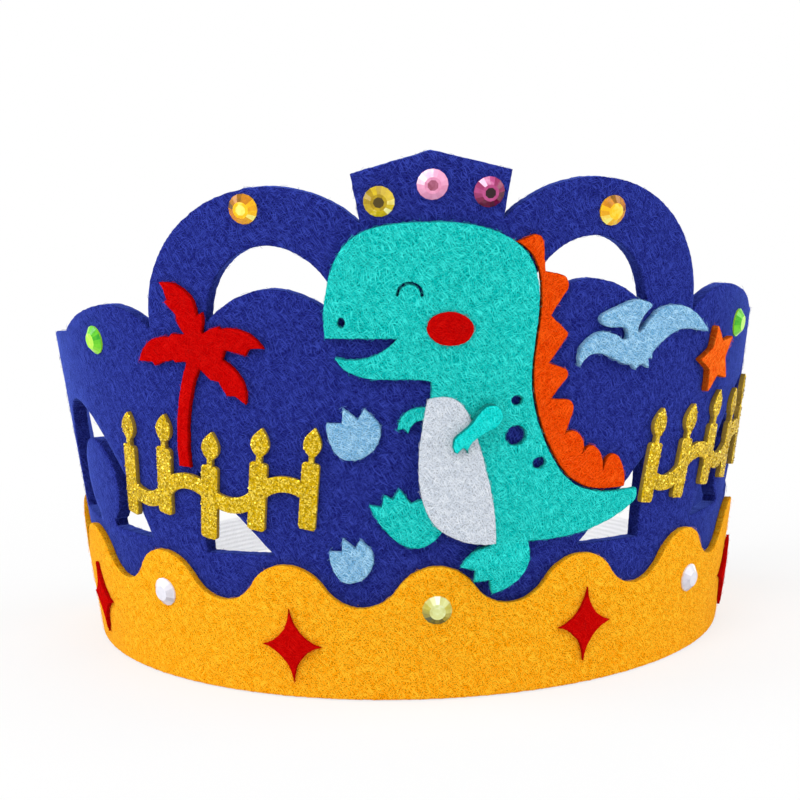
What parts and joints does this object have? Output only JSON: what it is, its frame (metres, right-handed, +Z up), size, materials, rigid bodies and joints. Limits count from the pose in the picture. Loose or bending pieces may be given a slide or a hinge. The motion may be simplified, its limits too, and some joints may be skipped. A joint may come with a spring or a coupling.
{
  "type": "felt party crown",
  "caption": "Child's party crown: a flared felt band with cut-outs, a scalloped trim, felt dinosaur figures, gold candle shapes and crystals, closed by elastic at the back.",
  "frame": {"origin": "centre of the head opening, on the table the crown stands on", "axes": "+Z up, -Y to the wearer's front, +X to the viewer's right of the front"},
  "size_m": [0.1988, 0.1947, 0.1436],
  "materials": {
    "blue_felt": "matte needle-punched felt with fine loose fibres",
    "yellow_felt": "matte needle-punched felt with fine loose fibres",
    "teal_felt": "matte needle-punched felt with fine loose fibres",
    "white_felt": "matte needle-punched felt with fine loose fibres",
    "orange_felt": "matte needle-punched felt with fine loose fibres",
    "red_felt": "matte needle-punched felt with fine loose fibres",
    "pale_blue_felt": "matte needle-punched felt with fine loose fibres",
    "gold_foam": "foam sheet faced with coarse gold glitter",
    "white_elastic": "ribbed woven elastic",
    "clear_crystal": "clear faceted acrylic with a bright backing",
    "lemon_crystal": "clear faceted acrylic with a bright backing",
    "gold_crystal": "clear faceted acrylic with a bright backing",
    "amber_crystal": "clear faceted acrylic with a bright backing",
    "pink_crystal": "clear faceted acrylic with a bright backing",
    "magenta_crystal": "clear faceted acrylic with a bright backing",
    "green_crystal": "clear faceted acrylic with a bright backing"
  },
  "bodies": {
    "root": {"crown_band": "blue_felt", "scallop_band": "yellow_felt", "elastic_strap": "white_elastic", "dino_body": "teal_felt", "dino_arm": "teal_felt", "dino_belly": "white_felt", "dino_cheek": "red_felt", "dino_spikes": "orange_felt", "egg_shell_upper": "pale_blue_felt", "egg_shell_lower": "pale_blue_felt", "palm_tree": "red_felt", "pterosaur": "pale_blue_felt", "orange_star": "orange_felt", "gold_candles_left": "gold_foam", "gold_candles_right": "gold_foam", "red_star_1": "red_felt", "red_star_2": "red_felt", "red_star_3": "red_felt", "red_star_4": "red_felt", "gem_trim_left": "clear_crystal", "gem_trim_middle": "lemon_crystal", "gem_trim_right": "clear_crystal", "gem_tab_left": "gold_crystal", "gem_tab_middle": "pink_crystal", "gem_tab_right": "magenta_crystal", "gem_arch_left": "amber_crystal", "gem_arch_right": "gold_crystal", "gem_side_left": "green_crystal", "gem_side_right": "green_crystal"}
  },
  "joints": []
}
